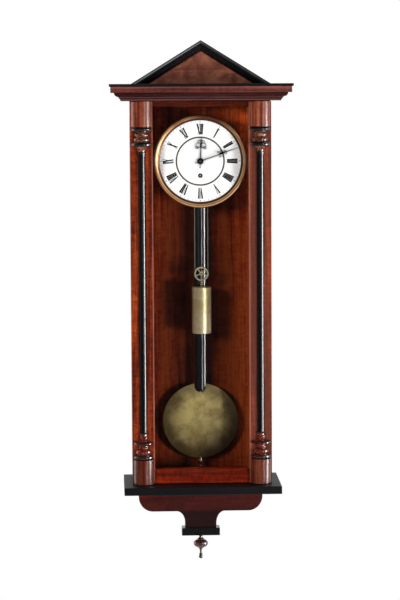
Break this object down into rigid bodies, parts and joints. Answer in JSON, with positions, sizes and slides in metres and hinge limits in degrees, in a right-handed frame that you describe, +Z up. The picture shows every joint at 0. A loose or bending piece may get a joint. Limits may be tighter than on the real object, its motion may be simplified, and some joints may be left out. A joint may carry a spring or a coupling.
{
  "type": "vienna regulator clock",
  "caption": "Wall clock in a glazed wooden case with split columns, pediment, enamel dial, weight on a pulley and long swinging pendulum.",
  "frame": {"origin": "centre of the hanging plate's hole, in the plane of the wall", "axes": "+X to the right as seen from the front, +Y into the wall, +Z up"},
  "size_m": [0.3614, 0.1627, 1.0581],
  "materials": {
    "mahogany_case": "french polished",
    "mahogany_door": "french polished",
    "walnut_moulding": "french polished, walnut veneer",
    "ebonised_wood": "ebonised and polished",
    "ebonised_rod": "ebonised and polished",
    "side_pane": "old clear glass",
    "door_pane": "old clear glass",
    "hanger_brass": "dull",
    "steel": "polished",
    "cast_iron": "black",
    "plate_brass": "brushed",
    "wheel_brass": "polished",
    "bezel_brass": "spun and lacquered",
    "enamel": "white enamel on copper",
    "blued_steel": "blued steel",
    "bob_brass": "aged, mottled",
    "weight_brass": "aged, polished",
    "gut": "twisted gut"
  },
  "bodies": {
    "case": {"backboard": "mahogany_case", "side_frame_left": "mahogany_case", "side_frame_right": "mahogany_case", "side_glass": "side_pane", "case_floor": "mahogany_case", "top_board": "walnut_moulding", "base_shelf": "ebonised_wood", "cornice_moulding": "walnut_moulding", "cornice_cap": "ebonised_wood", "pediment_panel": "walnut_moulding", "pediment_moulding": "ebonised_wood", "apron": "mahogany_case", "lower_shelf": "ebonised_wood", "drop_finial": "mahogany_case", "hanger_plate": "hanger_brass", "hanger_screws": "steel", "movement_bracket": "cast_iron", "back_plate": "plate_brass", "front_plate": "plate_brass", "plate_pillars": "plate_brass", "dial_feet": "plate_brass", "dial_plate": "plate_brass", "chapter_ring": "enamel", "dial_centre": "enamel", "bezel": "bezel_brass", "suspension_cock": "plate_brass", "gut_line": "gut", "line_post": "steel", "case_hinges": "plate_brass"},
    "door": {"door_stiles": "mahogany_door", "door_top_rail": "mahogany_door", "door_bottom_rail": "mahogany_door", "door_glass": "door_pane", "glass_beads": "mahogany_door", "column_drums": "walnut_moulding", "column_capitals": "walnut_moulding", "column_shafts": "ebonised_wood", "column_bases": "walnut_moulding", "door_hinges": "plate_brass"},
    "pendulum": {"suspension_spring": "steel", "pendulum_hook": "plate_brass", "pendulum_rod": "ebonised_rod", "rating_screw": "steel"},
    "bob": {"pendulum_bob": "bob_brass"},
    "nut": {"rating_nut": "bob_brass"},
    "anchor": {"pallets": "steel", "crutch": "steel"},
    "minute": {"cannon_pinion": "steel", "minute_hand": "blued_steel"},
    "minute_wheel": {"minute_wheel": "wheel_brass"},
    "hour": {"hour_wheel": "wheel_brass", "hour_hand": "blued_steel"},
    "barrel": {"barrel": "wheel_brass"},
    "great_wheel": {"great_wheel": "wheel_brass"},
    "centre_wheel": {"centre_wheel": "wheel_brass"},
    "third_wheel": {"third_wheel": "wheel_brass"},
    "escape_wheel": {"escape_wheel": "wheel_brass"},
    "weight": {"pulley_stirrup": "steel", "weight": "weight_brass"},
    "pulley": {"pulley": "wheel_brass"}
  },
  "joints": [
    {"name": "door_hinge", "type": "hinge", "parent": "case", "child": "door", "pos_m": [0.1398, -0.09525, -0.35], "axis": [0, 0, 1], "range_deg": [0, 115]},
    {"name": "pendulum_swing", "type": "hinge", "parent": "case", "child": "pendulum", "pos_m": [0, -0.029, -0.03157], "axis": [0, 1, 0], "range_deg": [-3, 3]},
    {"name": "bob_regulation", "type": "slide", "parent": "pendulum", "child": "bob", "axis": [0, 0, 1], "range_m": [-0.006, 0.0015]},
    {"name": "rating_nut_turn", "type": "hinge", "parent": "bob", "child": "nut", "pos_m": [0, -0.029, -0.6965], "axis": [0, 0, 1], "range_deg": [-2710, 680]},
    {"name": "anchor_swing", "type": "hinge", "parent": "case", "child": "anchor", "pos_m": [0, -0.059, -0.03157], "axis": [0, 1, 0], "range_deg": [-3.2, 3.2]},
    {"name": "minute_hand_turn", "type": "hinge", "parent": "case", "child": "minute", "pos_m": [0, -0.079, -0.0896], "axis": [0, 1, 0], "continuous": true},
    {"name": "minute_wheel_turn", "type": "hinge", "parent": "case", "child": "minute_wheel", "pos_m": [0.015, -0.077, -0.0896], "axis": [0, 1, 0], "continuous": true},
    {"name": "hour_hand_turn", "type": "hinge", "parent": "case", "child": "hour", "pos_m": [0, -0.084, -0.0896], "axis": [0, 1, 0], "continuous": true},
    {"name": "weight_fall", "type": "slide", "parent": "case", "child": "weight", "axis": [0, 0, 1], "range_m": [-0.265, 0.13], "deforming": ["gut_line"]},
    {"name": "barrel_turn", "type": "hinge", "parent": "case", "child": "barrel", "pos_m": [0, -0.059, -0.1184], "axis": [0, 1, 0], "range_deg": [-2830, 1391]},
    {"name": "pulley_turn", "type": "hinge", "parent": "weight", "child": "pulley", "pos_m": [0.00235, -0.06, -0.317], "axis": [0, 1, 0], "range_deg": [-1165, 574]},
    {"name": "centre_wheel_turn", "type": "hinge", "parent": "case", "child": "centre_wheel", "pos_m": [0, -0.059, -0.0896], "axis": [0, 1, 0], "continuous": true},
    {"name": "great_wheel_turn", "type": "hinge", "parent": "case", "child": "great_wheel", "pos_m": [0, -0.059, -0.1184], "axis": [0, 1, 0], "continuous": true},
    {"name": "third_wheel_turn", "type": "hinge", "parent": "case", "child": "third_wheel", "pos_m": [-0.009, -0.059, -0.06996], "axis": [0, 1, 0], "continuous": true},
    {"name": "escape_wheel_turn", "type": "hinge", "parent": "case", "child": "escape_wheel", "pos_m": [0, -0.059, -0.05357], "axis": [0, 1, 0], "continuous": true}
  ],
  "couplings": [
    {"joint": "rating_nut_turn", "follows": "bob_regulation", "rad_per_m": 7854},
    {"joint": "anchor_swing", "follows": "pendulum_swing", "ratio": 1},
    {"joint": "minute_wheel_turn", "follows": "minute_hand_turn", "ratio": -0.33333},
    {"joint": "hour_hand_turn", "follows": "minute_hand_turn", "ratio": 0.083333},
    {"joint": "barrel_turn", "follows": "weight_fall", "rad_per_m": 186.05},
    {"joint": "pulley_turn", "follows": "weight_fall", "rad_per_m": 76.336},
    {"joint": "great_wheel_turn", "follows": "centre_wheel_turn", "ratio": -0.0625},
    {"joint": "third_wheel_turn", "follows": "centre_wheel_turn", "ratio": -8},
    {"joint": "escape_wheel_turn", "follows": "centre_wheel_turn", "ratio": 78}
  ]
}
